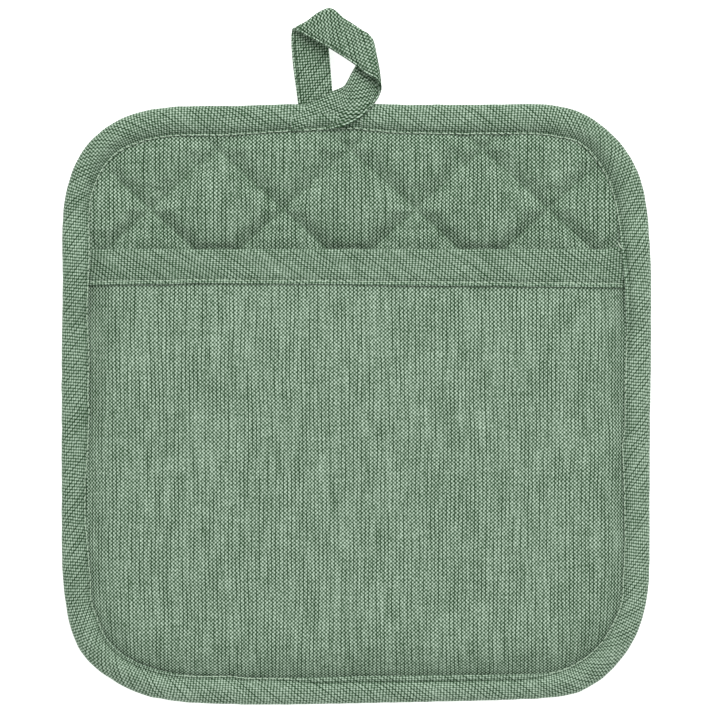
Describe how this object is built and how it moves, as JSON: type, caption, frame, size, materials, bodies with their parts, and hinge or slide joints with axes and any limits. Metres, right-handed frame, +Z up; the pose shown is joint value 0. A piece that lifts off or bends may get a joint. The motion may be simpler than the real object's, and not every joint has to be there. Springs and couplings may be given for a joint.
{
  "type": "pot holder",
  "caption": "Square quilted pot holder with rounded corners, a hand pocket over most of its face, a bias-bound edge and a folded hanging loop.",
  "frame": {"origin": "middle of the footprint, on the surface that the pot holder lies on", "axes": "+Z up out of the pocket face, +Y towards the hanging loop, +X to the right as the face is seen"},
  "size_m": [0.2118, 0.2504, 0.0181],
  "materials": {
    "quilted_back": "matte",
    "pocket_panel": "matte",
    "pocket_band": "matte",
    "edge_binding": "matte",
    "hanging_loop": "matte"
  },
  "bodies": {
    "root": {"quilted_back": "quilted_back", "pocket_panel": "pocket_panel", "pocket_band": "pocket_band", "edge_binding": "edge_binding", "hanging_loop": "hanging_loop"}
  },
  "joints": []
}
